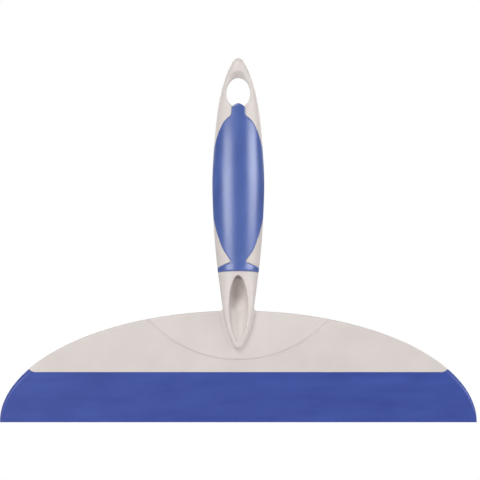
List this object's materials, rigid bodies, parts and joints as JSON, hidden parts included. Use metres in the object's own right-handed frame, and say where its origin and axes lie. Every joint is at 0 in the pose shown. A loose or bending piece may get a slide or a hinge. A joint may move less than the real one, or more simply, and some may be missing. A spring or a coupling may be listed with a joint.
{
  "type": "window cleaning squeegee",
  "caption": "Hand squeegee: half-elliptical head plate with a wide soft wiping blade, spindle handle with a soft grip and a hanging hole.",
  "frame": {"origin": "middle of the lip's lower edge, which is the lowest point of the upright tool", "axes": "+Z from the lip up the handle to the hanging end, +X along the lip to the right as seen from the front, the front with the scooped opening faces -Y"},
  "size_m": [0.3, 0.023, 0.2292],
  "materials": {
    "handle_plastic": "satin moulded polypropylene, warm light grey",
    "plate_plastic": "satin moulded polypropylene, warm light grey",
    "grip_rubber": "soft-touch thermoplastic elastomer, blue, faint sheen",
    "blade_rubber": "matte thermoplastic elastomer, blue"
  },
  "bodies": {
    "tool": {"handle": "handle_plastic", "head_plate": "plate_plastic", "grip": "grip_rubber", "blade_root": "blade_rubber"},
    "lip": {"blade_lip": "blade_rubber"}
  },
  "joints": [
    {"name": "blade_flex", "type": "hinge", "parent": "tool", "child": "lip", "pos_m": [0, 0, 0.016], "axis": [1, 0, 0], "range_deg": [-35, 35], "stiffness_Nm_per_rad": 0.06}
  ]
}
